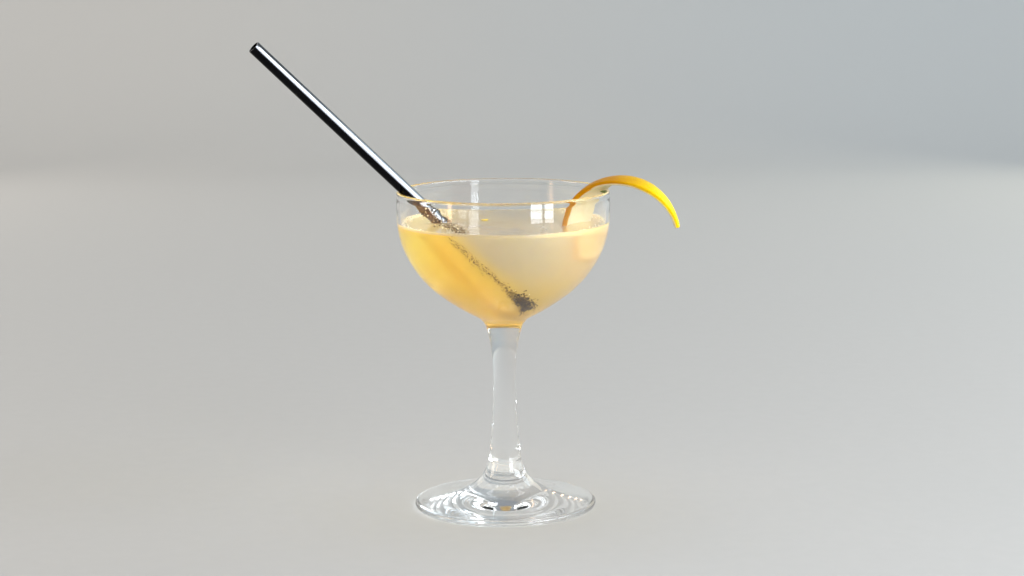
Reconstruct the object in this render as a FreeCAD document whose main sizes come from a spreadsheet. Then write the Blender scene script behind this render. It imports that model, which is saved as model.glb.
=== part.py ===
import FreeCAD, Part
import math
import os
import Sketcher
from FreeCAD import Placement, Rotation, Vector

# A cloudy lemon cocktail in a stemmed coupe: the glass, the drink in it, a steel straw and a
# hooked strip of lemon peel.  Millimetres, origin in the middle of the foot's underside, +Z up.

# Every size is a cell of the "sizes" sheet.  A profile point NAME has the cells NAME_reach (distance
# from the axis) and NAME_height; the cell NAME_bend is the radius of the arc that ends there.
sizes = {
    # outside of the glass, from the foot up to the rim
    "foot_under_reach": 39.8,
    "foot_top_reach": 39.9,
    "foot_top_height": 2.974,
    "foot_top_bend": 1.53,
    "flare_reach": 20.13,
    "flare_height": 6.89,
    "flare_bend": 89.27,
    "stem_low_reach": 7.11,
    "stem_low_height": 23.03,
    "stem_low_bend": 18.82,
    "stem_waist_reach": 5.18,
    "stem_waist_height": 50.17,
    "stem_waist_bend": 555.7,
    "stem_high_reach": 6.02,
    "stem_high_height": 73.44,
    "stem_high_bend": 141.1,
    "neck_reach": 7.96,
    "neck_height": 81.99,
    "neck_bend": 42.01,
    "bowl_foot_reach": 12.44,
    "bowl_foot_height": 87.1,
    "bowl_foot_bend": 8.912,
    "bowl_low_reach": 28.64,
    "bowl_low_height": 97.12,
    "bowl_low_bend": 102.8,
    "bowl_mid_reach": 44.04,
    "bowl_mid_height": 116.47,
    "bowl_mid_bend": 49.63,
    "bowl_wide_reach": 47.51,
    "bowl_wide_height": 131.3,
    "bowl_wide_bend": 40.09,
    "lip_outer_reach": 47.45,
    "lip_outer_height": 143.35,
    "lip_outer_bend": 139.9,
    # the lip and the inside of the glass, from the rim down to the floor of the bowl
    "lip_top_reach": 46.8,
    "lip_top_height": 144.0,
    "lip_top_bend": 0.65,
    "lip_inner_reach": 46.15,
    "lip_inner_height": 143.35,
    "lip_inner_bend": 0.65,
    "hollow_wide_reach": 46.13,
    "hollow_wide_height": 131.34,
    "hollow_wide_bend": 138.0,
    "hollow_mid_reach": 42.56,
    "hollow_mid_height": 116.89,
    "hollow_mid_bend": 38.11,
    "hollow_low_reach": 27.58,
    "hollow_low_height": 98.18,
    "hollow_low_bend": 51.18,
    "hollow_foot_reach": 11.2,
    "hollow_foot_height": 89.03,
    "hollow_foot_bend": 62.76,
    "floor_height": 87.0,
    "floor_bend": 31.79,
    # the drink
    "drink_level": 129.3,
    # the straw
    "straw_outer_bend": 2.9,
    "straw_bore_bend": 2.4,
    "straw_length": 170.0,
    "straw_end_round": 0.15,
    # the strip of peel, cut from the dome of a lemon
    "peel_skin_bend": 27.4,
    "peel_pith_bend": 25.2,
    "peel_dome_drop": 8.0,
    "peel_point_reach": 28.6,
    "peel_near_bend": 43.0,
    "peel_near_end_reach": 28.0,
    "peel_near_end_side": 2.0,
    "peel_far_bend": 80.0,
    "peel_far_end_reach": 19.0,
    "peel_far_end_side": 16.0,
    "peel_point_drop": 5.0,
    "peel_trim_margin": 40.0,
}

# Where the straw and the peel rest: the two ends of the straw's axis, and the middle of the
# peel's dome with its turns in degrees.
strawTip = Vector(9.15, 10.804, 91.802)
strawTop = Vector(-106.31, -28.77, 210.0)
peelMiddle = Vector(51.75, -18.8, 124.93)
peelHeading = -20.0
peelLean = 7.0
peelTilt = 0.0

# The glass outline after the flat of the foot: each point, and 1 or -1 for an arc bending left or
# right on the way to it.
glassProfile = [
    ("foot_top", 1),
    ("flare", -1),
    ("stem_low", -1),
    ("stem_waist", -1),
    ("stem_high", -1),
    ("neck", -1),
    ("bowl_foot", -1),
    ("bowl_low", 1),
    ("bowl_mid", 1),
    ("bowl_wide", 1),
    ("lip_outer", 1),
    ("lip_top", 1),
    ("lip_inner", 1),
    ("hollow_wide", -1),
    ("hollow_mid", -1),
    ("hollow_low", -1),
    ("hollow_foot", -1),
]


def make_sheet(doc):
    sheet = doc.addObject("Spreadsheet::Sheet", "sizes")
    for row, (name, value) in enumerate(sizes.items(), start=1):
        sheet.set("A%d" % row, name)
        sheet.set("B%d" % row, "%g" % value)
        sheet.setAlias("B%d" % row, name)
    doc.recompute()
    return sheet


def origin_plane(body, role):
    return next(item for item in body.Origin.OriginFeatures if item.Role == role)


def new_sketch(body, name, role):
    sketch = body.newObject("Sketcher::SketchObject", name)
    sketch.AttachmentSupport = [(origin_plane(body, role), "")]
    sketch.MapMode = "FlatFace"
    return sketch


def arc_between(start, end, radius, turn):
    # Short arc from start to end; turn is 1 when it goes round to the left, -1 to the right.
    chord = end - start
    half = chord.Length / 2
    rise = max(radius ** 2 - half ** 2, 0.0) ** 0.5
    side = Vector(-chord.y, chord.x, 0).normalize()
    centre = (start + end) / 2 + side * rise * turn
    first, last = (start, end) if turn > 0 else (end, start)
    angles = [math.atan2(spot.y - centre.y, spot.x - centre.x) for spot in (first, last)]
    return Part.ArcOfCircle(Part.Circle(centre, Vector(0, 0, 1), radius), *angles)


class Outline:
    # A closed run of lines and arcs in a sketch; every point and radius is tied to the sheet.

    def __init__(self, sketch, start):
        self.sketch = sketch
        self.first = start
        self.here = start
        self.edges = []

    def line(self, end):
        self.add(Part.LineSegment(self.here, end), 2)
        self.here = end

    def arc(self, end, name, turn):
        geometry = self.add(arc_between(self.here, end, sizes[name], turn), 2 if turn > 0 else 1)
        index = self.sketch.addConstraint(Sketcher.Constraint("Radius", geometry, sizes[name]))
        self.sketch.setExpression("Constraints[%d]" % index, "sizes." + name)
        self.here = end

    def add(self, curve, end_vertex):
        geometry = self.sketch.addGeometry(curve, False)
        self.edges.append((geometry, 3 - end_vertex, end_vertex))
        return geometry

    def end(self):
        return self.edges[-1][0], self.edges[-1][2]

    def pin(self, axis, name, sign=1):
        geometry, vertex = self.end()
        kind = "Distance" + axis
        rule = Sketcher.Constraint(kind, -1, 1, geometry, vertex, sign * sizes[name])
        index = self.sketch.addConstraint(rule)
        minus = "-" if sign < 0 else ""
        self.sketch.setExpression("Constraints[%d]" % index, minus + "sizes." + name)

    def on_axis(self, axis):
        geometry, vertex = self.end()
        self.sketch.addConstraint(Sketcher.Constraint("PointOnObject", geometry, vertex, axis))

    def close(self):
        for (one, _, tail), (other, head, _) in zip(self.edges, self.edges[1:] + self.edges[:1]):
            self.sketch.addConstraint(Sketcher.Constraint("Coincident", one, tail, other, head))


def point(name):
    return Vector(sizes[name + "_reach"], sizes[name + "_height"], 0)


def follow(outline, names):
    for name, turn in names:
        outline.arc(point(name), name + "_bend", turn)
        outline.pin("X", name + "_reach")
        outline.pin("Y", name + "_height")


def revolve(body, sketch, name):
    feature = body.newObject("PartDesign::Revolution", name)
    feature.Profile = sketch
    feature.ReferenceAxis = (sketch, ["V_Axis"])
    feature.Angle = 360
    return feature


def make_glass(doc):
    body = doc.addObject("PartDesign::Body", "glass")
    sketch = new_sketch(body, "glass_profile", "XZ_Plane")
    outline = Outline(sketch, Vector(0, 0, 0))
    outline.line(Vector(sizes["foot_under_reach"], 0, 0))
    outline.pin("X", "foot_under_reach")
    outline.on_axis(-1)
    follow(outline, glassProfile)
    outline.arc(Vector(0, sizes["floor_height"], 0), "floor_bend", -1)
    outline.pin("Y", "floor_height")
    outline.on_axis(-2)
    outline.line(Vector(0, 0, 0))
    outline.close()
    sketch.addConstraint(Sketcher.Constraint("Coincident", outline.edges[-1][0], 2, -1, 1))
    revolve(body, sketch, "glass_turned")
    body.Label = "glass"
    return body


def make_fill(doc):
    # Everything the bowl could hold, up to the start of the lip, then cut off at the drink's level.
    body = doc.addObject("PartDesign::Body", "fill")
    sketch = new_sketch(body, "fill_profile", "XZ_Plane")
    rim = point("lip_inner")
    outline = Outline(sketch, Vector(0, rim.y, 0))
    outline.line(rim)
    outline.pin("X", "lip_inner_reach")
    outline.pin("Y", "lip_inner_height")
    follow(outline, glassProfile[13:])
    outline.arc(Vector(0, sizes["floor_height"], 0), "floor_bend", -1)
    outline.pin("Y", "floor_height")
    outline.on_axis(-2)
    outline.line(Vector(0, rim.y, 0))
    outline.pin("Y", "lip_inner_height")
    outline.on_axis(-2)
    outline.close()
    revolve(body, sketch, "fill_turned")
    body.Label = "fill"
    return body


def make_level(doc):
    slab = doc.addObject("Part::Cylinder", "level_slab")
    slab.setExpression("Radius", "sizes.bowl_wide_reach")
    slab.setExpression("Height", "sizes.drink_level")
    return slab


def make_straw(doc):
    body = doc.addObject("PartDesign::Body", "straw")
    sketch = new_sketch(body, "straw_ring", "XY_Plane")
    for name in ("straw_outer_bend", "straw_bore_bend"):
        ring = Part.Circle(Vector(0, 0, 0), Vector(0, 0, 1), sizes[name])
        circle = sketch.addGeometry(ring, False)
        sketch.addConstraint(Sketcher.Constraint("Coincident", circle, 3, -1, 1))
        index = sketch.addConstraint(Sketcher.Constraint("Radius", circle, sizes[name]))
        sketch.setExpression("Constraints[%d]" % index, "sizes." + name)
    tube = body.newObject("PartDesign::Pad", "straw_tube")
    tube.Profile = sketch
    tube.setExpression("Length", "sizes.straw_length")
    doc.recompute()
    rounds = body.newObject("PartDesign::Fillet", "straw_rounds")
    edges = enumerate(tube.Shape.Edges, start=1)
    ends = ["Edge%d" % number for number, edge in edges if len(edge.Vertexes) == 1]
    rounds.Base = (tube, ends)
    rounds.setExpression("Radius", "sizes.straw_end_round")
    direction = (strawTop - strawTip).normalize()
    body.Placement = Placement(strawTip, Rotation(Vector(0, 0, 1), direction))
    body.Label = "straw"
    return body


def make_peel(doc):
    # A dome of lemon rind, trimmed by an outline seen from above: a point at one end, and a broad
    # end that dips into the drink.
    body = doc.addObject("PartDesign::Body", "lemon_peel")
    section = new_sketch(body, "rind_section", "XZ_Plane")
    drop = sizes["peel_dome_drop"]
    skin = sizes["peel_skin_bend"]
    pith = sizes["peel_pith_bend"]
    skin_foot = Vector((skin ** 2 - drop ** 2) ** 0.5, -drop, 0)
    pith_foot = Vector((pith ** 2 - drop ** 2) ** 0.5, -drop, 0)
    outline = Outline(section, Vector(0, skin, 0))
    outline.line(Vector(0, pith, 0))
    outline.pin("Y", "peel_pith_bend")
    outline.on_axis(-2)
    outline.arc(pith_foot, "peel_pith_bend", -1)
    outline.pin("Y", "peel_dome_drop", -1)
    outline.line(skin_foot)
    outline.pin("Y", "peel_dome_drop", -1)
    outline.arc(Vector(0, skin, 0), "peel_skin_bend", 1)
    outline.pin("Y", "peel_skin_bend")
    outline.on_axis(-2)
    outline.close()
    revolve(body, section, "rind_dome")
    doc.recompute()
    trim_outline(body)
    doc.recompute()
    trim_point(body)
    turn = Rotation(Vector(0, 0, 1), peelHeading) * Rotation(Vector(0, 1, 0), peelTilt)
    body.Placement = Placement(peelMiddle, turn * Rotation(Vector(1, 0, 0), -peelLean))
    body.Label = "lemon_peel"
    return body


def trim_outline(body):
    # What lies outside the strip's outline, seen from above, is cut away.
    sketch = new_sketch(body, "strip_outline", "XY_Plane")
    margin = sizes["peel_trim_margin"]
    frame = Outline(sketch, Vector(margin, -margin, 0))
    for corner in (Vector(margin, margin, 0), Vector(-margin, margin, 0), Vector(-margin, -margin, 0)):
        frame.line(corner)
        frame.pin("X", "peel_trim_margin", 1 if corner.x > 0 else -1)
        frame.pin("Y", "peel_trim_margin", 1 if corner.y > 0 else -1)
    frame.line(Vector(margin, -margin, 0))
    frame.pin("X", "peel_trim_margin")
    frame.pin("Y", "peel_trim_margin", -1)
    frame.close()
    tip = Vector(sizes["peel_point_reach"], 0, 0)
    near_end = Vector(-sizes["peel_near_end_reach"], -sizes["peel_near_end_side"], 0)
    far_end = Vector(-sizes["peel_far_end_reach"], sizes["peel_far_end_side"], 0)
    strip = Outline(sketch, tip)
    strip.arc(near_end, "peel_near_bend", -1)
    strip.pin("X", "peel_near_end_reach", -1)
    strip.pin("Y", "peel_near_end_side", -1)
    strip.line(Vector(near_end.x, far_end.y, 0))
    strip.pin("X", "peel_near_end_reach", -1)
    strip.pin("Y", "peel_far_end_side")
    strip.line(far_end)
    strip.pin("X", "peel_far_end_reach", -1)
    strip.pin("Y", "peel_far_end_side")
    strip.arc(tip, "peel_far_bend", 1)
    strip.pin("X", "peel_point_reach")
    strip.on_axis(-1)
    strip.close()
    cut_through(body, sketch, "strip_trim")


def trim_point(body):
    # The outer end stops short of the dome's foot, so that the strip hangs by a blunt point.
    sketch = new_sketch(body, "point_outline", "XZ_Plane")
    margin = sizes["peel_trim_margin"]
    drop = sizes["peel_point_drop"]
    block = Outline(sketch, Vector(0, drop, 0))
    block.line(Vector(0, -margin, 0))
    block.pin("Y", "peel_trim_margin", -1)
    block.on_axis(-2)
    block.line(Vector(margin, -margin, 0))
    block.pin("X", "peel_trim_margin")
    block.pin("Y", "peel_trim_margin", -1)
    block.line(Vector(margin, drop, 0))
    block.pin("X", "peel_trim_margin")
    block.pin("Y", "peel_point_drop")
    block.line(Vector(0, drop, 0))
    block.pin("Y", "peel_point_drop")
    block.on_axis(-2)
    block.close()
    cut_through(body, sketch, "point_trim")


def cut_through(body, sketch, name):
    pocket = body.newObject("PartDesign::Pocket", name)
    pocket.Profile = sketch
    pocket.Midplane = True
    pocket.setExpression("Length", "sizes.peel_trim_margin * 2")
    return pocket


def make_drink(doc, fill, slab, sunk):
    # The bowl's filling below the level, cut round the straw and the peel.
    full = doc.addObject("Part::Common", "full_drink")
    full.Base = fill
    full.Tool = slab
    round_straw = doc.addObject("Part::Cut", "drink_round_straw")
    round_straw.Base = full
    round_straw.Tool = sunk[0]
    drink = doc.addObject("Part::Cut", "drink")
    drink.Base = round_straw
    drink.Tool = sunk[1]
    drink.Label = "drink"
    return drink


def check_states(doc):
    for item in doc.Objects:
        if "Invalid" in item.State or "Error" in item.State:
            raise ValueError(item.Name + " did not build")


def write_steps(parts):
    os.makedirs("parts", exist_ok=True)
    for piece in parts:
        shape = piece.Shape
        if shape.isNull() or not shape.isValid():
            raise ValueError(piece.Label + " has no sound shape")
        shape.exportStep("parts/" + piece.Label + ".step")
        print(piece.Label, "volume %.1f" % shape.Volume)


doc = FreeCAD.newDocument("cocktail")
make_sheet(doc)
glass = make_glass(doc)
fill = make_fill(doc)
slab = make_level(doc)
straw = make_straw(doc)
peel = make_peel(doc)
drink = make_drink(doc, fill, slab, [straw, peel])
doc.recompute()
check_states(doc)
write_steps([glass, drink, straw, peel])
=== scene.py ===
from math import pi, radians

import bpy
import numpy as np
from mathutils import Matrix, Vector


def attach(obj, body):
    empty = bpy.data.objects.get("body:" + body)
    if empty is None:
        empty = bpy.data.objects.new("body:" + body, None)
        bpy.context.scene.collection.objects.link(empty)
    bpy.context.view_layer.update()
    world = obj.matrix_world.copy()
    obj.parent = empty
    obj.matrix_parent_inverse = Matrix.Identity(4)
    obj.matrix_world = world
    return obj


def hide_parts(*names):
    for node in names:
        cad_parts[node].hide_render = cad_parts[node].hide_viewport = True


# A cloudy lemon cocktail in a stemmed coupe, with a steel straw and a hooked strip of peel.
# The dictionaries hold millimetres and degrees; the meshes are in metres.

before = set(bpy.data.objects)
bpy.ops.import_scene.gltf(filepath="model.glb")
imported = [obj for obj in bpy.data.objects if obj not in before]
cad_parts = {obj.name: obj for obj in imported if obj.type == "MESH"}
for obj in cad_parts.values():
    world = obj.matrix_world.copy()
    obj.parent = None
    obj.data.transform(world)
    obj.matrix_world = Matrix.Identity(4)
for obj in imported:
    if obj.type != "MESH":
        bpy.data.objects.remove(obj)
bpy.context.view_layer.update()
mm = 0.001
print("frame loaded:", ", ".join(sorted(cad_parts)))


def meshObject(name, points, faces, finish, marks=None):
    # puts arrays of points (metres) and faces into an object at the origin, with any point attributes
    mesh = bpy.data.meshes.new(name)
    mesh.from_pydata(points.tolist(), [], faces)
    mesh.polygons.foreach_set("use_smooth", np.full(len(mesh.polygons), True))
    for markName, values in (marks or {}).items():
        mark = mesh.attributes.new(markName, "FLOAT", "POINT")
        mark.data.foreach_set("value", np.asarray(values, dtype=np.float32).ravel())
    mesh.materials.append(finish)
    mesh.update()
    piece = bpy.data.objects.new(name, mesh)
    bpy.context.collection.objects.link(piece)
    return piece


def meshPiece(name, points, faces, finish, marks=None):
    # a mesh object of the cocktail's own, riding on its one body
    piece = meshObject(name, points, faces, finish, marks)
    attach(piece, "root")
    return piece


def ringFaces(rows, columns, offset=0):
    # quads of a grid whose columns close on themselves; rows run from the first ring to the last
    row, column = np.meshgrid(np.arange(rows - 1), np.arange(columns), indexing="ij")
    here = row * columns + column
    beside = row * columns + (column + 1) % columns
    corners = np.stack([here, beside, beside + columns, here + columns], axis=-1)
    return (corners.reshape(-1, 4) + offset).tolist()


def turnedGrid(profile, columns):
    # every profile point (reach, height) carried round the axis: x = reach cos a, y = reach sin a
    angle = np.linspace(0, 2 * pi, columns, endpoint=False)
    reach = profile[:, :1]
    x, y = reach * np.cos(angle), reach * np.sin(angle)
    z = np.repeat(profile[:, 1:2], columns, axis=1)
    return np.stack([x, y, z], axis=-1)


def closedTurning(grid):
    # a turned grid whose first and last rows sit on the axis: each of those becomes one point
    rows, columns = grid.shape[:2]
    middle = grid[1:-1].reshape(-1, 3)
    points = np.concatenate([grid[0, :1], middle, grid[-1, :1]])
    column = np.arange(columns)
    beside = (column + 1) % columns
    last = len(points) - 1
    lastRow = 1 + (rows - 3) * columns
    startFan = np.stack([np.zeros_like(column), beside + 1, column + 1], axis=-1).tolist()
    endFan = np.stack([column + lastRow, beside + lastRow, np.full_like(column, last)], axis=-1).tolist()
    return points, startFan + ringFaces(rows - 2, columns, 1) + endFan


def arcRun(start, stops, steps):
    # a chain of arcs: each stop is (reach, height, radius, turn), turn 1 bends left and -1 right;
    # the centre lies off the chord's middle by the root of radius squared less half chord squared
    run = [np.array([start])]
    here = np.array(start, dtype=float)
    for reach, height, radius, turn in stops:
        there = np.array([reach, height], dtype=float)
        chord = there - here
        half = np.linalg.norm(chord) / 2
        side = np.array([-chord[1], chord[0]]) / (2 * half)
        centre = (here + there) / 2 + side * turn * np.sqrt(max(radius ** 2 - half ** 2, 0))
        first = np.arctan2(*(here - centre)[::-1])
        sweep = 2 * np.arcsin(min(half / radius, 1)) * turn
        angle = first + sweep * np.linspace(0, 1, steps + 1)[1:]
        run.append(centre + radius * np.stack([np.cos(angle), np.sin(angle)], axis=-1))
        here = there
    return np.concatenate(run)


def smoothNoise(x, y, seed, size=1.0):
    # a sum of sine waves in fixed directions: soft, repeatable unevenness between about -1 and 1
    pick = np.random.default_rng(seed)
    total = np.zeros_like(x, dtype=float)
    for octave in range(6):
        direction = pick.uniform(0, 2 * pi)
        pitch = size * (0.5 + 0.45 * octave)
        along = x * np.cos(direction) + y * np.sin(direction)
        total += np.sin(along * pitch + pick.uniform(0, 2 * pi)) / (1 + octave)
    return total / 2.4


class Wave:
    # a value or colour in a material; arithmetic on it adds Math nodes

    def __init__(self, maker, socket):
        self.maker = maker
        self.socket = socket

    def maths(self, operation, *values):
        return self.maker.node("ShaderNodeMath", {"operation": operation}, dict(enumerate(values)))

    def __add__(self, other):
        return self.maths("ADD", self, other)

    def __radd__(self, other):
        return self.maths("ADD", other, self)

    def __sub__(self, other):
        return self.maths("SUBTRACT", self, other)

    def __rsub__(self, other):
        return self.maths("SUBTRACT", other, self)

    def __mul__(self, other):
        return self.maths("MULTIPLY", self, other)

    def __rmul__(self, other):
        return self.maths("MULTIPLY", other, self)

    def __pow__(self, other):
        return self.maths("POWER", self, other)

    def __abs__(self):
        return self.maths("ABSOLUTE", self)

    def step(self, low, high):
        # 0 below low, 1 above high, a soft climb between
        return self.maker.node("ShaderNodeMapRange", {"interpolation_type": "SMOOTHSTEP"},
                               {0: self, 1: low, 2: high, 3: 0.0, 4: 1.0})


class Finish:
    # one material; node() adds any node from its type, its settings and its sockets

    def __init__(self, name):
        self.material = bpy.data.materials.new(name)
        self.material.use_nodes = True
        self.tree = self.material.node_tree
        self.tree.nodes.clear()
        self.output = self.tree.nodes.new("ShaderNodeOutputMaterial")

    def node(self, kind, settings=None, sockets=None, out=0):
        made = self.tree.nodes.new(kind)
        for key, value in (settings or {}).items():
            setattr(made, key, value)
        for key, value in (sockets or {}).items():
            if isinstance(value, Wave):
                self.tree.links.new(value.socket, made.inputs[key])
            else:
                made.inputs[key].default_value = value
        return Wave(self, made.outputs[out])

    def place(self):
        return self.node("ShaderNodeTexCoord", out="Object")

    def part(self, vector, axis):
        return self.node("ShaderNodeSeparateXYZ", None, {0: vector}, out=axis)

    def mark(self, name):
        return self.node("ShaderNodeAttribute", {"attribute_name": name}, out="Fac")

    def noise(self, vector, scale, detail=3.0, roughness=0.5):
        return self.node("ShaderNodeTexNoise", None,
                         {"Vector": vector, "Scale": scale, "Detail": detail, "Roughness": roughness})

    def blend(self, factor, first, second):
        return self.node("ShaderNodeMix", {"data_type": "RGBA"}, {0: factor, 6: first, 7: second}, out=2)

    def bump(self, height, strength, distance):
        return self.node("ShaderNodeBump", None,
                         {"Height": height, "Strength": strength, "Distance": distance})

    def shader(self, sockets):
        return self.node("ShaderNodeBsdfPrincipled", None, sockets)

    def clearShadow(self, surface, tint):
        # lets lamp light through to what stands behind or inside
        ray = self.node("ShaderNodeLightPath", out="Is Shadow Ray")
        clear = self.node("ShaderNodeBsdfTransparent", None, {0: tint})
        return self.node("ShaderNodeMixShader", None, {0: ray, 1: surface, 2: clear})

    def finish(self, surface):
        self.tree.links.new(surface.socket, self.output.inputs["Surface"])
        return self.material


# the glass: foot, stem and bowl, turned from one outline
glassSizes = {
    "footUnder": (39.8, 0.0),
    "hollowReach": 39.0,        # the shallow hollow under the foot
    "hollowRise": 0.6,
    "outside": [(39.9, 2.974, 1.53, 1), (20.13, 6.89, 89.27, -1), (7.11, 23.03, 18.82, -1),
                (5.18, 50.17, 555.7, -1), (6.02, 73.44, 141.1, -1), (7.96, 81.99, 42.01, -1),
                (12.44, 87.1, 8.912, -1), (28.64, 97.12, 102.8, 1), (44.04, 116.47, 49.63, 1),
                (47.51, 131.3, 40.09, 1), (47.45, 143.35, 139.9, 1), (46.8, 144.0, 0.65, 1),
                (46.15, 143.35, 0.65, 1)],
    "inside": [(46.13, 131.34, 138.0, -1), (42.56, 116.89, 38.11, -1), (27.58, 98.18, 51.18, -1),
               (11.2, 89.03, 62.76, -1), (0.0, 87.0, 31.79, -1)],
    "widest": 47.59,
    "spacing": 0.6,             # between points along the outline
    "smoothing": 1.6,           # width of the bell curve that smooths it
    "window": 12,               # points on each side that the bell takes in
    "sharpFrom": 0.04,          # a point that smoothing would move further than this
    "sharpOver": 0.06,          # and this together stays where it is
    "columns": 168,
}


def glassProfile():
    # underside with its hollow, a raised cosine; then the outside, the lip and the inside as arcs,
    # all spaced evenly along the line and smoothed by a moving bell curve away from tight bends
    under = np.linspace(0, glassSizes["hollowReach"], 60)[:-1]
    rise = glassSizes["hollowRise"] * (0.5 + 0.5 * np.cos(pi * under / glassSizes["hollowReach"]))
    hollow = np.stack([under, rise], axis=-1)
    rest = arcRun(glassSizes["footUnder"], glassSizes["outside"] + glassSizes["inside"], 40)
    line = np.concatenate([hollow, rest])
    length = np.concatenate([[0], np.cumsum(np.linalg.norm(np.diff(line, axis=0), axis=1))])
    even = np.linspace(0, length[-1], int(length[-1] / glassSizes["spacing"]))
    run = np.stack([np.interp(even, length, line[:, 0]), np.interp(even, length, line[:, 1])], axis=-1)
    window = glassSizes["window"]
    offsets = np.arange(-window, window + 1)
    bell = np.exp(-0.5 * (offsets * glassSizes["spacing"] / glassSizes["smoothing"]) ** 2)
    bell = bell / bell.sum()
    padded = np.pad(run, ((window, window), (0, 0)), mode="edge")
    shifted = [padded[window + offset:window + offset + len(run)] for offset in offsets]
    soft = sum(weight * moved for weight, moved in zip(bell, shifted))
    shift = np.linalg.norm(soft - run, axis=1)
    keep = np.clip((shift - glassSizes["sharpFrom"]) / glassSizes["sharpOver"], 0, 1)[:, None]
    ends = np.minimum(np.arange(len(run)), np.arange(len(run))[::-1])[:, None]
    keep = np.maximum(keep, 1 - np.clip(ends / window, 0, 1))
    line = run * keep + soft * (1 - keep)
    line[:, 0] = np.minimum(line[:, 0], glassSizes["widest"])
    return line


def glassFinish():
    make = Finish("clear glass")
    place = make.place()
    haze = make.noise(place, 60.0, 4.0)
    wave = make.noise(place, 25.0, 1.0)
    shader = make.shader({
        "Base Color": (0.985, 0.992, 0.995, 1),
        "Roughness": (haze - 0.45) * 0.03 + 0.004,
        "IOR": 1.5,
        "Transmission Weight": 1.0,
        "Normal": make.bump(wave, 0.02, 0.001),
    })
    return make.finish(make.clearShadow(shader, (0.96, 0.965, 0.97, 1)))


def makeGlass():
    profile = glassProfile()
    points, faces = closedTurning(turnedGrid(profile * mm, glassSizes["columns"]))
    piece = meshPiece("glassBody", points, faces, glassFinish())
    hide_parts("glass")
    print("glass made:", len(points), "points")


# the bowl's inside from its middle up to the lip, and its direction at each point
insideLine = arcRun(glassSizes["outside"][-1][:2], glassSizes["inside"], 24)[::-1]
insideSlope = np.gradient(insideLine, axis=0)
insideSlope = insideSlope / np.linalg.norm(insideSlope, axis=1)[:, None]


# the straw, and where it leans, which the drink's surface needs too
strawSizes = {
    "tip": (9.15, 10.804, 91.802),
    "top": (-106.31, -28.77, 210.0),
    "length": 170.0,
    "reach": 2.9,
    "bore": 2.4,
    "endRound": 0.2,
    "columns": 72,
}
strawTip = np.array(strawSizes["tip"])
strawWay = np.array(strawSizes["top"]) - strawTip
strawWay = strawWay / np.linalg.norm(strawWay)
strawSide = np.cross(strawWay, (0, 0, 1))
strawSide = strawSide / np.linalg.norm(strawSide)
strawUp = np.cross(strawSide, strawWay)


def alongStraw(distance, angle, reach):
    # a point at a distance up the straw, an angle round it and a reach from its axis
    across = np.cos(angle)[..., None] * strawSide + np.sin(angle)[..., None] * strawUp
    return strawTip + distance[..., None] * strawWay + reach[..., None] * across


# the drink, up to its level
drinkSizes = {
    "level": 129.3,
    "intoWall": 0.12,
    "climb": 1.0,               # how far the edge creeps up the wall
    "climbWidth": 1.3,
    "edgeGap": 0.05,            # how far under the top of that creep the wall's points end
    "strawCreep": 0.6,          # the same creep round the straw, as a share
    "strawCreepWidth": 1.0,
    "ripple": 0.05,
    "calm": 6.0,                # ripples fade out this near the wall
    "columns": 200,
    "surfaceRows": 70,
    "crowding": 1.6,            # rows stand closer together towards the wall
}


def drinkGrid():
    # the bowl's inside pushed into the wall, then the surface from the edge to the middle:
    # level + climb * e^(-distance from the wall / width), with the same creep round the straw
    top = drinkSizes["level"] + drinkSizes["climb"] - drinkSizes["edgeGap"]
    wall = insideLine[insideLine[:, 1] < top]
    slope = np.gradient(wall, axis=0)
    slope = slope / np.linalg.norm(slope, axis=1)[:, None]
    outward = np.stack([slope[:, 1], -slope[:, 0]], axis=-1)
    wall = wall + outward * drinkSizes["intoWall"]
    wall[0, 0] = 0
    edge = wall[-1, 0]
    side = turnedGrid(wall, drinkSizes["columns"])
    reach = edge * (1 - np.linspace(0, 1, drinkSizes["surfaceRows"]) ** drinkSizes["crowding"])
    flatLine = np.stack([reach, np.full_like(reach, drinkSizes["level"])], axis=-1)
    top = turnedGrid(flatLine, drinkSizes["columns"])
    x, y = top[..., 0], top[..., 1]
    fromWall = edge - np.hypot(x, y)
    cross = strawTip + strawWay * (drinkSizes["level"] - strawTip[2]) / strawWay[2]
    along = (x - cross[0]) * strawWay[0] + (y - cross[1]) * strawWay[1]
    flat = np.hypot(strawWay[0], strawWay[1])
    along = along / flat * strawWay[2]
    across = ((x - cross[0]) * strawWay[1] - (y - cross[1]) * strawWay[0]) / flat
    fromStraw = np.clip(np.hypot(along, across) - strawSizes["reach"], 0, None)
    creep = np.exp(-fromWall / drinkSizes["climbWidth"])
    creep += drinkSizes["strawCreep"] * np.exp(-fromStraw / drinkSizes["strawCreepWidth"])
    calm = np.clip(fromWall / drinkSizes["calm"], 0, 1)
    top[..., 2] += drinkSizes["climb"] * creep + drinkSizes["ripple"] * smoothNoise(x, y, 4, 0.22) * calm
    top[0, :, 2] = side[-1, :, 2]
    return np.concatenate([side[:-1], top])


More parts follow.
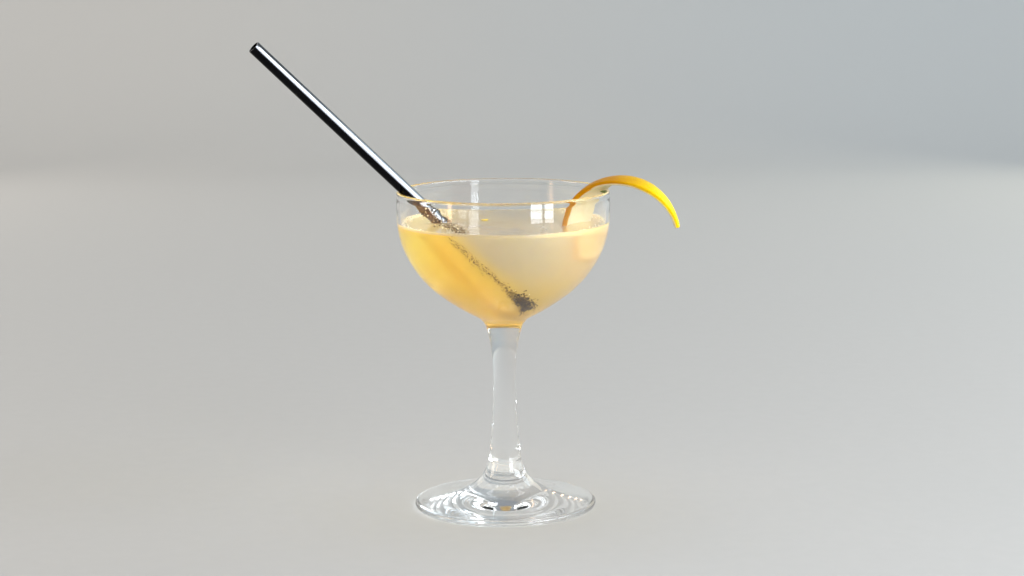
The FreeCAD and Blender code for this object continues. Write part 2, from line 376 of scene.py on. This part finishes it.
def drinkFinish():
    make = Finish("cloudy lemon drink")
    place = make.place()
    x, z = make.part(place, "X"), make.part(place, "Z")
    swirl = make.noise(place, 28.0, 4.0, 0.55)
    drift = (swirl - 0.5) * 0.018
    strawLine = x + z * 1.02 - 0.108          # zero along the straw as seen from the front
    # painted light and shade: left of the straw's line the drink is painted a deep bright yellow, as lit by
    # warm light from the left; right of it a duller, paler colour, greyest up high, the straw's painted
    # shadow
    side = (strawLine + drift * 0.3).step(-0.004, 0.012)
    height = (z + drift).step(0.088, 0.124)
    low = make.blend(side, (0.98, 0.68, 0.16, 1), (0.85, 0.61, 0.15, 1))
    high = make.blend(side, (0.99, 0.69, 0.10, 1), (0.68, 0.575, 0.38, 1))
    colour = make.blend(height, low, high)
    # painted shade towards the right edge, a duller tan, and painted light towards the left edge, a
    # brighter yellow
    colour = make.blend((x + drift * 0.4).step(0.014, 0.040) * 0.9, colour, (0.81, 0.60, 0.31, 1))
    colour = make.blend((x + drift * 0.4).step(-0.022, -0.040) * 0.85, colour, (1.0, 0.86, 0.22, 1))
    # painted reflection: the top surface is painted greyish in its middle and pale cream towards the left
    # and right, the backdrop mirrored at a grazing angle
    surface = (z + drift * 0.02).step(0.1290, 0.1294)
    rim = abs(x + 0.004).step(0.014, 0.040)
    ends = make.blend(x.step(-0.01, 0.02), (0.97, 0.84, 0.56, 1), (0.92, 0.76, 0.36, 1))
    skin = make.blend(rim, (0.51, 0.44, 0.32, 1), ends)
    colour = make.blend(surface * 0.85, colour, skin)
    shader = make.shader({
        "Base Color": colour,
        "Roughness": 0.22 + swirl * 0.05 - surface * 0.14,
        "IOR": 1.34,
        "Transmission Weight": 0.55,
        "Subsurface Weight": 0.3,
        "Subsurface Radius": (0.012, 0.010, 0.004),
        "Subsurface Scale": 1.0,
    })
    return make.finish(make.clearShadow(shader, (0.97, 0.93, 0.78, 1)))


def makeDrink():
    grid = drinkGrid() * mm
    points, faces = closedTurning(grid)
    piece = meshPiece("drinkBody", points, faces, drinkFinish())
    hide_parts("drink")
    print("drink made:", len(points), "points")


def steelFinish():
    make = Finish("polished steel")
    place = make.place()
    smear = make.noise(place, 90.0, 5.0)
    hairline = make.node("ShaderNodeTexNoise", None, {
        "Vector": make.node("ShaderNodeMapping", None, {"Vector": place, "Scale": (900.0, 900.0, 60.0)}),
        "Scale": 1.0, "Detail": 2.0})
    dry = make.part(place, "Z").step(0.1286, 0.1294)          # 0 in the drink, 1 above it
    lift = make.mark("lift")          # 1 on the straw's upper side, -1 on its under side
    # painted light and shade: the steel is painted near black on its under side and grey on its upper side,
    # with a bluish tint along the very top, a painted reflection of the blue-white highlight
    under = make.blend(smear, (0.006, 0.006, 0.007, 1), (0.014, 0.014, 0.016, 1))
    # painted reflection: just above the drink the under side is painted brown, the drink mirrored in the
    # steel
    under = make.blend(make.part(place, "Z").step(0.134, 0.144), (0.21, 0.115, 0.05, 1), under)
    upper = make.blend(smear, (0.17, 0.175, 0.185, 1), (0.21, 0.215, 0.225, 1))
    upper = make.blend(lift.step(0.72, 0.96), upper, (0.075, 0.115, 0.145, 1))
    steel = make.blend(lift.step(-0.15, 0.30), under, upper)
    # where the straw stands in the drink its steel is painted over, not metallic, in the drink's yellow
    # darkened to brown: the straw's veiled look through the cloudy drink, with a painted shade along it
    paintedDrinkVeil = make.blend(smear, (0.58, 0.42, 0.19, 1), (0.66, 0.49, 0.23, 1))
    shader = make.shader({
        "Base Color": make.blend(dry, paintedDrinkVeil, steel),
        "Metallic": dry,
        "Roughness": 0.55 - dry * 0.45 + smear * 0.08,
        "Normal": make.bump(hairline, 0.04, 0.0002),
    })
    return make.finish(shader)


def makeStraw():
    # the tube's closed outline (distance, reach) with rounded ends, turned round the straw's axis
    length, reach, bore, soft = (strawSizes[key] for key in ("length", "reach", "bore", "endRound"))
    bend = np.linspace(0, pi / 2, 7)
    along, across = soft * np.sin(bend), soft * np.cos(bend)
    wall = np.linspace(soft, length - soft, 90)[1:-1]
    outline = np.concatenate([
        np.stack([soft - along[::-1], reach - soft + across[::-1]], axis=-1),
        np.stack([wall, np.full_like(wall, reach)], axis=-1),
        np.stack([length - soft + along, reach - soft + across], axis=-1),
        np.stack([length - soft + along[::-1], bore + soft - across[::-1]], axis=-1),
        np.stack([wall[::-1], np.full_like(wall, bore)], axis=-1),
        np.stack([soft - along, bore + soft - across], axis=-1),
    ])
    columns = strawSizes["columns"]
    angle = np.linspace(0, 2 * pi, columns, endpoint=False)
    distance = np.repeat(outline[:, :1], columns, axis=1)
    reaches = np.repeat(outline[:, 1:], columns, axis=1)
    grid = alongStraw(distance, np.broadcast_to(angle, distance.shape), reaches)
    rows = len(grid)
    faces = np.array(ringFaces(rows + 1, columns))
    faces = (faces % (rows * columns)).tolist()
    # lift marks the straw's upper and under sides, which its finish paints lit and shaded
    outward = np.where(outline[:, 1:] > (reach + bore) / 2, 1.0, -0.4)
    marks = {"lift": outward * np.sin(angle)}
    piece = meshPiece("strawTube", grid.reshape(-1, 3) * mm, faces, steelFinish(), marks)
    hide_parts("straw")
    print("straw made")


# the hooked strip of peel
peelSizes = {
    "middle": (51.75, -18.8, 124.93),
    "heading": -20.0,
    "lean": 7.0,
    "skin": 27.4,
    "pith": 25.2,
    "pointReach": 29.5,
    "nearEnd": (28.0, 2.0),
    "nearBend": 43.0,
    "farEnd": (19.0, 16.0),
    "farBend": 80.0,
    "turns": (195.5, 11.5),     # from the broad end to the point
    "rows": 260,
    "across": 56,
    "edgeRound": 0.55,
    "inset": 0.1,
    "unevenness": 0.06,
    "pointThin": 0.55,          # share of the thickness left at the point
    "thinOver": 3.0,
    "leg": (112.0, 14.0),       # a turn, and over how many degrees the zest's edge shifts there
    "crown": (62.0, 10.0),
    "point": (28.0, 8.0),
}


def arcSide(start, end, radius, turn, x):
    # height of an arc over a chord at each x
    start, end = np.array(start, dtype=float), np.array(end, dtype=float)
    chord = end - start
    half = np.linalg.norm(chord) / 2
    side = np.array([-chord[1], chord[0]]) / (2 * half)
    centre = (start + end) / 2 + side * turn * np.sqrt(radius ** 2 - half ** 2)
    lift = np.sqrt(np.clip(radius ** 2 - (x - centre[0]) ** 2, 0, None))
    away = -np.sign((side * turn)[1])
    return centre[1] + away * lift


def peelGrid():
    # Rows run along the strip as turns t about the middle, from the broad end to the point; across
    # it the near and far edges are where the skin's sphere meets the outline seen from above. A
    # row's point is reach * (cos t cos b, sin b, sin t cos b), b running from near to far edge.
    turn = np.linspace(*np.radians(peelSizes["turns"]), peelSizes["rows"])
    skin = peelSizes["skin"]
    tip = (peelSizes["pointReach"], 0)
    nearEnd = (-peelSizes["nearEnd"][0], -peelSizes["nearEnd"][1])
    farEnd = (-peelSizes["farEnd"][0], peelSizes["farEnd"][1])
    near = np.zeros_like(turn)
    far = np.zeros_like(turn)
    for _ in range(60):
        xNear = skin * np.cos(near) * np.cos(turn)
        xFar = skin * np.cos(far) * np.cos(turn)
        nearSide = arcSide(tip, nearEnd, peelSizes["nearBend"], -1, xNear) / skin
        farSide = arcSide(farEnd, tip, peelSizes["farBend"], 1, xFar) / skin
        near = 0.5 * near + 0.5 * np.arcsin(np.clip(nearSide, -1, 0))
        far = 0.5 * far + 0.5 * np.arcsin(np.clip(farSide, 0, 1))
    return turn, near, far


def peelFinish():
    make = Finish("lemon peel")
    place = make.place()
    depth = make.mark("depth")          # 0 on the skin, 1 on the pith's face
    patch = make.noise(place, 70.0, 3.0)
    skinMask = 1 - (depth + (patch - 0.5) * 0.2).step(0.80, 0.98)
    pores = make.node("ShaderNodeTexVoronoi", {"feature": "F1"}, {"Vector": place, "Scale": 950.0},
                      out="Distance")
    fine = make.noise(place, 700.0, 3.0)
    x = make.part(place, "X")
    # painted light and shade: the zest is painted bright yellow towards the right, as lit from the right,
    # and amber towards the left, as in shade
    peelLitSide = (x + (patch - 0.5) * 0.012).step(0.048, 0.076)
    zest = make.blend(peelLitSide, (0.48, 0.21, 0.0, 1), (0.93, 0.66, 0.0, 1))
    zest = make.blend((1 - pores.step(0.05, 0.45)) * 0.35, zest, (0.46, 0.22, 0.0, 1))
    # on the lit side only, the zest's cut edges are painted paler, painted light
    zest = make.blend(depth.step(0.25, 0.80) * peelLitSide * 0.5, zest, (0.96, 0.80, 0.16, 1))
    pith = make.blend(fine, (0.60, 0.51, 0.30, 1), (0.67, 0.59, 0.40, 1))
    height = pores * skinMask + fine * 0.5 * (1 - skinMask)
    shader = make.shader({
        "Base Color": make.blend(skinMask, pith, zest),
        "Roughness": 0.62 - skinMask * 0.22,
        "Specular IOR Level": 0.10,
        "Subsurface Weight": 0.15,
        "Subsurface Radius": (0.003, 0.002, 0.0006),
        "Subsurface Scale": 1.0,
        "Normal": make.bump(height, 0.35, 0.0004),
    })
    return make.finish(shader)


def makePeel():
    turn, near, far = peelGrid()
    rows = len(turn)
    # the section's outline: out over the skin, round the far edge, back under the pith, round the near edge
    count = peelSizes["across"]
    over = np.linspace(0, 1, count)
    soft = np.linspace(0, 1, 9)[1:-1]
    across = np.concatenate([over, np.ones_like(soft), over[::-1], np.zeros_like(soft)])
    depth = np.concatenate([np.zeros_like(over), soft, np.ones_like(over), soft[::-1]])
    thick = peelSizes["skin"] - peelSizes["pith"]
    span = (far - near)[:, None]
    b = near[:, None] + span * across
    # the edges are eased: near both sides the skin sinks and the pith rises by a quarter circle
    edgeWay = np.minimum(across, 1 - across) * span * peelSizes["skin"]
    ease = np.clip(1 - edgeWay / peelSizes["edgeRound"], 0, 1)
    ease = 1 - np.sqrt(1 - ease ** 2)
    pinch = peelSizes["edgeRound"] / thick * ease
    d = depth[None, :] * (1 - 2 * pinch) + pinch
    # it thins towards its point
    fade = np.clip((turn - turn[-1]) / radians(peelSizes["thinOver"]), 0, 1)[:, None]
    pointThin = peelSizes["pointThin"]
    thin = pointThin + (1 - pointThin) * np.sqrt(1 - (1 - fade) ** 2)
    d = (d - 0.5) * thin + 0.5
    t = turn[:, None]
    bump = peelSizes["unevenness"] * smoothNoise(b * 27, t * 27, 9, 0.9)
    inset = peelSizes["inset"]
    reach = peelSizes["skin"] - inset - d * (thick - inset) + bump * (1 - depth)
    local = np.stack([reach * np.cos(t) * np.cos(b), reach * np.sin(b), reach * np.sin(t) * np.cos(b)],
                     axis=-1)
    lean, heading = -radians(peelSizes["lean"]), radians(peelSizes["heading"])
    turned = Matrix.Rotation(heading, 3, "Z") @ Matrix.Rotation(lean, 3, "X")
    grid = local @ np.array(turned).T + np.array(peelSizes["middle"])
    columns = grid.shape[1]
    faces = ringFaces(rows, columns)
    first = np.arange(columns)
    caps = [first[::-1].tolist(), (first + (rows - 1) * columns).tolist()]
    # the zest's colour runs a little way over the pith's near edge in the leg that stands in the
    # drink, and stops short of it along the top and at the point
    legTurn, legOver = peelSizes["leg"]
    crownTurn, crownOver = peelSizes["crown"]
    pointTurn, pointOver = peelSizes["point"]
    leg = np.clip((np.degrees(turn) - legTurn) / legOver, 0, 1)[:, None]
    crown = np.clip((np.degrees(turn) - crownTurn) / crownOver, 0, 1)[:, None] * (1 - leg)
    point = np.clip((pointTurn - np.degrees(turn)) / pointOver, 0, 1)[:, None]
    nearEdge = np.clip(1.6 - across * span * peelSizes["skin"] / 1.1, 0, 1)
    marks = {"depth": depth - 0.45 * leg * nearEdge + 0.28 * (crown + point)}
    piece = meshPiece("peelStrip", grid.reshape(-1, 3) * mm, faces + caps, peelFinish(), marks)
    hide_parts("lemon_peel")
    print("peel made")


def beadMesh(centres, reaches, around=8, rings=5):
    # one small ball per centre: a ball is turned from a half circle, its poles single points
    polar = np.linspace(0, pi, rings + 1)[1:-1]
    angle = np.linspace(0, 2 * pi, around, endpoint=False)
    band = np.stack([np.outer(np.sin(polar), np.cos(angle)), np.outer(np.sin(polar), np.sin(angle)),
                     np.repeat(np.cos(polar)[:, None], around, axis=1)], axis=-1).reshape(-1, 3)
    ball = np.concatenate([[[0, 0, 1]], band, [[0, 0, -1]]])
    column = np.arange(around)
    beside = (column + 1) % around
    last = len(ball) - 1
    lastRing = 1 + (rings - 2) * around
    quads = np.array(ringFaces(rings - 1, around, 1))[:, ::-1]
    top = np.stack([np.zeros_like(column), column + 1, beside + 1], axis=-1)
    bottom = np.stack([np.full_like(column, last), beside + lastRing, column + lastRing], axis=-1)
    points = centres[:, None, :] + reaches[:, None, None] * ball
    shift = (np.arange(len(centres)) * len(ball))[:, None, None]
    faces = (quads + shift).reshape(-1, 4).tolist()
    faces += (np.concatenate([top, bottom]) + shift).reshape(-1, 3).tolist()
    return points.reshape(-1, 3), faces


def insideReach(height):
    # the bowl's inside reach at a height
    return np.interp(height, insideLine[:, 1], insideLine[:, 0])


def onWall(angle, height, depth):
    # points a depth in from the bowl's inside, square to it: where the wall climbs by (dr, dz), a
    # point (r, z) moves to (r - depth * dz, z + depth * dr)
    climb = np.interp(height, insideLine[:, 1], insideSlope[:, 1])
    widen = np.interp(height, insideLine[:, 1], insideSlope[:, 0])
    reach = insideReach(height) - depth * climb
    return np.stack([reach * np.cos(angle), reach * np.sin(angle), height + depth * widen], axis=-1)


strawBeads = {
    "tipCount": 620,            # crowded round the tip
    "tipLength": 13.0,
    "wetCount": 260,            # along the part in the drink
    "wetTurn": (0.6, 0.8),      # middle and spread of their angles, in radians
    "dryCount": 340,            # round the part just above the drink
    "dryTurn": (2.6, 1.1),
    "dryFrom": -3.0,            # from this far up the straw, counted from the drink's level
    "dryLength": 15.0,
    "scatter": (1.1, 0.25, 0.05),   # out from the straw: at the tip, in the drink, above it
    "raftCount": 260,           # floating beside the straw
    "raftStart": (1.0, -2.0),   # from where the straw leaves the drink
    "raftEnd": (-17.5, -31.0),
    "raftWidth": 2.6,
    "raftTaper": 1.4,
    "trailCount": 620,          # specks on the wall in front of the straw
    "trail": [(-119.8, 128.2), (-92.9, 109.1), (-83.4, 101.9), (-65.0, 95.7), (-45.0, 92.8)],
    "trailSpread": 1.2,
    "trailSize": (0.12, 0.14),  # the smallest, and how much more the largest has
    "crowdCount": 900,          # and a crowd of them in front of its tip
    "crowdTurn": -71.0,
    "crowdSpread": (7.5, 1.8),
    "crowdSize": (0.16, 0.34),
    "wallGap": 0.12,            # how far outside the bowl's inside a speck's middle sits
    "small": 0.12,
    "large": 0.46,
    "seed": 21,
}


def beadFinish():
    make = Finish("bubbles")
    tone = make.mark("tone")
    # painted shade and glints: the bubbles are opaque balls painted near black to dark brown, the dark that
    # bubbles show by refraction, and those of the highest tone pale cream, painted glints
    dark = make.blend(tone, (0.018, 0.011, 0.007, 1), (0.26, 0.16, 0.07, 1))
    shader = make.shader({
        "Base Color": make.blend(tone.step(0.84, 0.88), dark, (0.90, 0.78, 0.52, 1)),
        "Roughness": 0.12 + tone * 0.2,
        "IOR": 1.3,
        "Coat Weight": 0.1,
    })
    return make.finish(shader)


def wallSpecks(pick):
    # a trail whose height follows its angle through a few given places, thinning out to both
    # sides, and a crowd spread as a bell about one angle of it; each speck breaks the drink's skin
    count, crowd = strawBeads["trailCount"], strawBeads["crowdCount"]
    turns, heights = np.array(strawBeads["trail"]).T
    angle = turns[0] + (turns[-2] - turns[0]) * pick.uniform(0, 1, count) ** 0.9
    turnSpread, heightSpread = strawBeads["crowdSpread"]
    spread = np.append(np.full(count, strawBeads["trailSpread"]), np.full(crowd, heightSpread))
    angle = np.append(angle, strawBeads["crowdTurn"] + turnSpread * pick.normal(0, 1, crowd))
    height = np.interp(angle, turns, heights) + spread * pick.normal(0, 1, count + crowd)
    small, more = strawBeads["trailSize"]
    trailSize = small + more * pick.uniform(0, 1, count) ** 2
    small, more = strawBeads["crowdSize"]
    crowdSize = small + more * pick.uniform(0, 1, crowd) ** 1.8
    size = np.append(trailSize, crowdSize)
    return onWall(np.radians(angle), height, 0.1 * size - strawBeads["wallGap"]), size


def makeStrawBeads():
    # bubbles at a distance up the straw, an angle round it and a reach out from it, each kept
    # inside the bowl; the raft floats on a line from the straw to the wall
    pick = np.random.default_rng(strawBeads["seed"])
    wet = (drinkSizes["level"] - strawTip[2]) / strawWay[2]
    tip, along, dry, raft = (strawBeads[key] for key in ("tipCount", "wetCount", "dryCount", "raftCount"))
    distance = np.concatenate([
        strawBeads["tipLength"] * pick.power(1.1, tip) - 1.0,
        strawBeads["tipLength"] + (wet - strawBeads["tipLength"]) * pick.uniform(0, 1, along),
        wet + strawBeads["dryFrom"] + strawBeads["dryLength"] * pick.power(0.75, dry)])
    angle = np.concatenate([
        pick.uniform(0, 2 * pi, tip),
        pick.normal(*strawBeads["wetTurn"], along),
        pick.normal(*strawBeads["dryTurn"], dry)])
    small, large = strawBeads["small"], strawBeads["large"]
    size = small + (large - small) * pick.uniform(0, 1, tip + along + dry) ** 2.5
    size[-dry:] *= 0.85
    tipScatter, wetScatter, dryScatter = strawBeads["scatter"]
    out = np.concatenate([
        pick.exponential(tipScatter, tip),
        pick.exponential(wetScatter, along),
        pick.exponential(dryScatter, dry)])
    centres = alongStraw(distance, angle, strawSizes["reach"] + size * 0.7 + out)
    cross = strawTip + strawWay * wet
    share = pick.uniform(0, 1, raft) ** 0.8
    spread = pick.normal(0, 1, raft) * (strawBeads["raftWidth"] - strawBeads["raftTaper"] * share)
    start, end = strawBeads["raftStart"], strawBeads["raftEnd"]
    floating = np.stack([
        cross[0] + start[0] + (end[0] - cross[0]) * share + spread,
        cross[1] + start[1] + (end[1] - cross[1]) * share + 0.4 * spread,
        np.full(raft, drinkSizes["level"] + 0.1)], axis=-1)
    raftSize = small + 0.26 * pick.uniform(0, 1, raft) ** 2
    centres = np.concatenate([centres, floating])
    size = np.concatenate([size, raftSize])
    fits = np.hypot(centres[:, 0], centres[:, 1]) < insideReach(centres[:, 2]) - size
    fits &= centres[:, 2] > 89.5
    wallSpots, wallSize = wallSpecks(pick)
    centres, size = np.concatenate([centres[fits], wallSpots]), np.concatenate([size[fits], wallSize])
    points, faces = beadMesh(centres * mm, size * mm)
    tone = pick.uniform(0, 1, len(centres))
    # tone sets each bubble's painted shade: the wall specks take middling tones and the crowd before the
    # straw's tip darker ones
    tone[-len(wallSpots):] = 0.42 + 0.4 * tone[-len(wallSpots):]
    tone[-strawBeads["crowdCount"]:] -= 0.42
    tone = np.repeat(tone, len(points) // len(centres))
    meshPiece("strawBubbles", points, faces, beadFinish(), {"tone": tone})
    print("straw bubbles made:", len(centres), "of them at the tip:", int(fits[:tip].sum()))


frothSizes = {
    "into": 0.10,               # how far it reaches into the wall
    "above": 0.45,
    "below": 0.35,
    "belowSides": 2.1,          # more at the left and right
    "width": 1.0,
    "columns": 360,
    "around": 20,
    "beads": 900,
    "beadSize": (0.10, 0.28),   # the smallest, and how much more the largest has
    "inward": (0.3, 0.9),       # least distance from the wall, and the mean beyond that
    "beadClimb": 0.9,           # bubbles at the wall stand this much higher
    "beadClimbWidth": 1.2,
    "seed": 5,
}


def frothFinish():
    make = Finish("froth")
    place = make.place()
    fine = make.noise(place, 900.0, 3.0)
    blotch = make.noise(place, 160.0, 3.0)
    shader = make.shader({
        "Base Color": make.blend(blotch, (0.86, 0.70, 0.46, 1), (0.92, 0.80, 0.62, 1)),
        "Roughness": 0.30 + fine * 0.2,
        "Subsurface Weight": 0.4,
        "Subsurface Radius": (0.003, 0.0022, 0.0012),
        "Subsurface Scale": 1.0,
        "Normal": make.bump(fine, 0.4, 0.0003),
    })
    return make.finish(shader)


def makeFroth():
    # a collar on the wall: round an angle a, the section is half an ellipse whose flat side follows
    # the wall from low(a) to high(a) and whose belly stands in by width(a)
    angle = np.linspace(0, 2 * pi, frothSizes["columns"], endpoint=False)
    wave = smoothNoise(6 * np.cos(angle), 6 * np.sin(angle), 17, 2.2)
    quick = smoothNoise(30 * np.cos(angle), 30 * np.sin(angle), 18, 2.0)
    sides = np.cos(angle) ** 2
    high = drinkSizes["level"] + frothSizes["above"] * (1 + 0.25 * wave + 0.2 * quick)
    drop = frothSizes["below"] + frothSizes["belowSides"] * sides
    low = drinkSizes["level"] - drop * (1 + 0.22 * wave + 0.10 * quick)
    width = frothSizes["width"] * (0.75 + 0.6 * sides) * (1 + 0.3 * quick)
    bend = np.linspace(0, pi, frothSizes["around"])[:, None]
    inner = 0.5 * (1 - np.cos(bend))
    height = low + (high - low) * inner
    wall = insideReach(height)
    belly = wall - width * np.sin(bend)
    back = np.linspace(1, 0, 6)[1:-1][:, None]
    backHeight = low + (high - low) * back
    reach = np.concatenate([belly, insideReach(backHeight)]) + frothSizes["into"]
    height = np.concatenate([height, backHeight])
    grid = np.stack([reach * np.cos(angle), reach * np.sin(angle), height], axis=-1)
    rows, columns = grid.shape[:2]
    faces = (np.array(ringFaces(rows + 1, columns)) % (rows * columns))[:, ::-1].tolist()
    meshPiece("frothCollar", grid.reshape(-1, 3) * mm, faces, frothFinish())
    pick = np.random.default_rng(frothSizes["seed"])
    count = frothSizes["beads"]
    turn = pick.uniform(0, 2 * pi, count)
    small, more = frothSizes["beadSize"]
    size = small + more * pick.uniform(0, 1, count) ** 2.5
    least, mean = frothSizes["inward"]
    inward = least + pick.exponential(mean, count)
    reach = insideReach(drinkSizes["level"]) - inward - size
    rise = drinkSizes["level"] + frothSizes["beadClimb"] * np.exp(-inward / frothSizes["beadClimbWidth"])
    centres = np.stack([reach * np.cos(turn), reach * np.sin(turn), rise], axis=-1)
    points, faces = beadMesh(centres * mm, size * mm)
    meshPiece("frothBubbles", points, faces, frothFinish())
    print("froth made:", count, "bubbles")


fleckSizes = {
    "zestFleck": {
        "spot": (-8.3, 8.0, 129.5), "length": 3.4, "width": 1.5, "thick": 0.7, "turn": 25.0,
        "finish": "zest", "dark": (0.80, 0.52, 0.01, 1), "light": (0.90, 0.70, 0.05, 1)},
    # a small dark green scrap lying on the rim's top
    "rimGreenFleck": {
        "spot": (44.6, -6.3, 143.7), "length": 3.4, "width": 1.9, "thick": 1.2, "turn": 40.0,
        "finish": "dark green", "dark": (0.08, 0.11, 0.015, 1), "light": (0.17, 0.21, 0.04, 1)},
}


def makeFleck(name):
    # a small scrap: an ellipsoid (cos p cos q, cos p sin q, sin p) whose length bends like a bow
    sizes = fleckSizes[name]
    polar = np.linspace(-pi / 2, pi / 2, 18)[:, None]
    around = np.linspace(0, 2 * pi, 28, endpoint=False)[None, :]
    x = np.cos(polar) * np.cos(around)
    y = np.cos(polar) * np.sin(around) * (1 + 0.25 * np.cos(2.3 * x * pi))
    z = np.sin(polar) + 0.5 * x ** 2
    swing = radians(sizes["turn"])
    long, wide, tall = x * sizes["length"] / 2, y * sizes["width"] / 2, z * sizes["thick"] / 2
    turnedX = long * np.cos(swing) - wide * np.sin(swing)
    turnedY = long * np.sin(swing) + wide * np.cos(swing)
    grid = np.stack([turnedX, turnedY, tall], axis=-1) + np.array(sizes["spot"])
    points, faces = closedTurning(grid * mm)
    finish = fleckFinish(sizes["finish"], sizes["dark"], sizes["light"])
    meshPiece(name, points, faces, finish)
    print("fleck made:", name)


def fleckFinish(name, dark, light):
    make = Finish(name)
    place = make.place()
    patch = make.noise(place, 600.0, 3.0)
    shader = make.shader({
        "Base Color": make.blend(patch, dark, light),
        "Roughness": 0.35 + patch * 0.2,
    })
    return make.finish(shader)


makeGlass()
makeDrink()
makeStraw()
makePeel()
makeStrawBeads()
makeFroth()
for fleckName in fleckSizes:
    makeFleck(fleckName)


# the floor, which bends up into the backdrop
stageSizes = {"flat": 1400.0, "bend": 900.0, "rise": 1600.0, "columns": 96}


def backdropFinish():
    make = Finish("pale paper")
    place = make.place()
    grain = make.noise(place, 120.0, 3.0)
    x, y = make.part(place, "X"), make.part(place, "Y")
    # darker grey near the glass and paler further out; out there it is painted warm on the left and cool on
    # the right, painted warm and cool light
    away = ((x * x + y * y) ** 0.5).step(0.1, 2.2)
    near = make.blend(grain, (0.42, 0.417, 0.41, 1), (0.44, 0.437, 0.43, 1))
    far = make.blend(x.step(-0.6, 0.6), (0.80, 0.765, 0.72, 1), (0.73, 0.775, 0.795, 1))
    shader = make.shader({
        "Base Color": make.blend(away, near, far),
        "Roughness": 0.8,
        "Specular IOR Level": 0.2,
    })
    return make.finish(shader)


def makeStage():
    # a round floor that bends up into a wall on all sides: a flat disc, a quarter circle, a cylinder
    bend = np.linspace(0, pi / 2, 40)
    flat, radius = stageSizes["flat"], stageSizes["bend"]
    reach = np.concatenate([[0.0, flat / 2], flat + radius * np.sin(bend), [flat + radius]])
    height = np.concatenate([[0.0, 0.0], radius - radius * np.cos(bend), [radius + stageSizes["rise"]]])
    grid = turnedGrid(np.stack([reach, height], axis=-1) * mm, stageSizes["columns"])
    columns = stageSizes["columns"]
    points = np.concatenate([grid[0, :1], grid[1:].reshape(-1, 3)])
    column = np.arange(columns)
    fan = np.stack([np.zeros_like(column), column + 1, (column + 1) % columns + 1], axis=-1).tolist()
    faces = np.array(ringFaces(len(grid) - 1, columns, 1))[:, ::-1].tolist()
    meshObject("sweep", points, fan + faces, backdropFinish())


lampSizes = {
    # name: (turn from the back towards the right, distance, height, width, tall, power, colour)
    "paneNear": (145.0, 900.0, 330.0, 193.0, 640.0, 3.4, (0.90, 0.95, 1.0)),
    "paneFar": (130.9, 900.0, 330.0, 154.0, 640.0, 2.9, (0.90, 0.95, 1.0)),
    "skyRight": (102.0, 1100.0, 680.0, 760.0, 440.0, 10.5, (0.88, 0.95, 1.0)),
    "skyBack": (60.0, 1150.0, 690.0, 480.0, 440.0, 1.9, (0.72, 0.88, 1.0)),
    "warmLeft": (-95.0, 1100.0, 420.0, 400.0, 700.0, 5.0, (1.0, 0.84, 0.66)),
    "warmStrip": (-122.5, 900.0, 250.0, 70.0, 480.0, 0.7, (1.0, 0.60, 0.34)),
    "backRight": (40.0, 1400.0, 420.0, 1000.0, 640.0, 2.4, (1.0, 0.91, 0.72)),
    "backLeft": (-40.0, 1400.0, 420.0, 1000.0, 640.0, 1.5, (1.0, 0.95, 0.88)),
    "overhead": (0.0, 200.0, 1700.0, 1500.0, 1200.0, 13.0, (1.0, 0.99, 0.97)),
}


# these are mirrored by the glass, but not seen through it
lampsOffGlass = ("overhead", "warmLeft", "backRight", "backLeft")


def softbox(name, turn, distance, height, width, tall, power, colour):
    lamp = bpy.data.lights.new(name, "AREA")
    lamp.shape = "RECTANGLE"
    lamp.size = width * mm
    lamp.size_y = tall * mm
    lamp.energy = power
    lamp.color = colour
    holder = bpy.data.objects.new(name, lamp)
    spot = Vector((distance * np.sin(radians(turn)), distance * np.cos(radians(turn)), height)) * mm
    aim = Vector((0, 0, 0.12))
    if height < 1000:
        aim.z = min(spot.z, 0.5)
    holder.location = spot
    holder.rotation_euler = (aim - spot).to_track_quat("-Z", "Y").to_euler()
    holder.visible_camera = False
    holder.visible_transmission = name not in lampsOffGlass
    bpy.context.collection.objects.link(holder)


def makeLight():
    world = bpy.data.worlds.new("room")
    world.use_nodes = True
    world.node_tree.nodes["Background"].inputs["Color"].default_value = (0.62, 0.66, 0.72, 1)
    world.node_tree.nodes["Background"].inputs["Strength"].default_value = 0.45
    bpy.context.scene.world = world
    for name, sizes in lampSizes.items():
        softbox(name, *sizes)


cameraSizes = {"spot": (3.68, -1025.66, 267.32), "down": 9.278, "roll": 0.425, "lens": 81.43}


def makeCamera():
    lens = bpy.data.cameras.new("camera")
    lens.lens = cameraSizes["lens"]
    lens.sensor_width = 36.0
    lens.clip_start = 0.01
    holder = bpy.data.objects.new("camera", lens)
    turn = Matrix.Rotation(radians(90 - cameraSizes["down"]), 4, "X")
    roll = Matrix.Rotation(-radians(cameraSizes["roll"]), 4, "Z")
    spot = Matrix.Translation(Vector(cameraSizes["spot"]) * mm)
    holder.matrix_world = spot @ turn @ roll
    bpy.context.collection.objects.link(holder)
    bpy.context.scene.camera = holder


makeStage()
makeLight()
makeCamera()
print("stage, light and camera made")
bpy.context.scene.view_settings.view_transform = "Standard"
bpy.context.scene.cycles.max_bounces = 32          # light runs a long way inside the foot
bpy.context.scene.cycles.transmission_bounces = 32
bpy.context.scene.cycles.glossy_bounces = 16
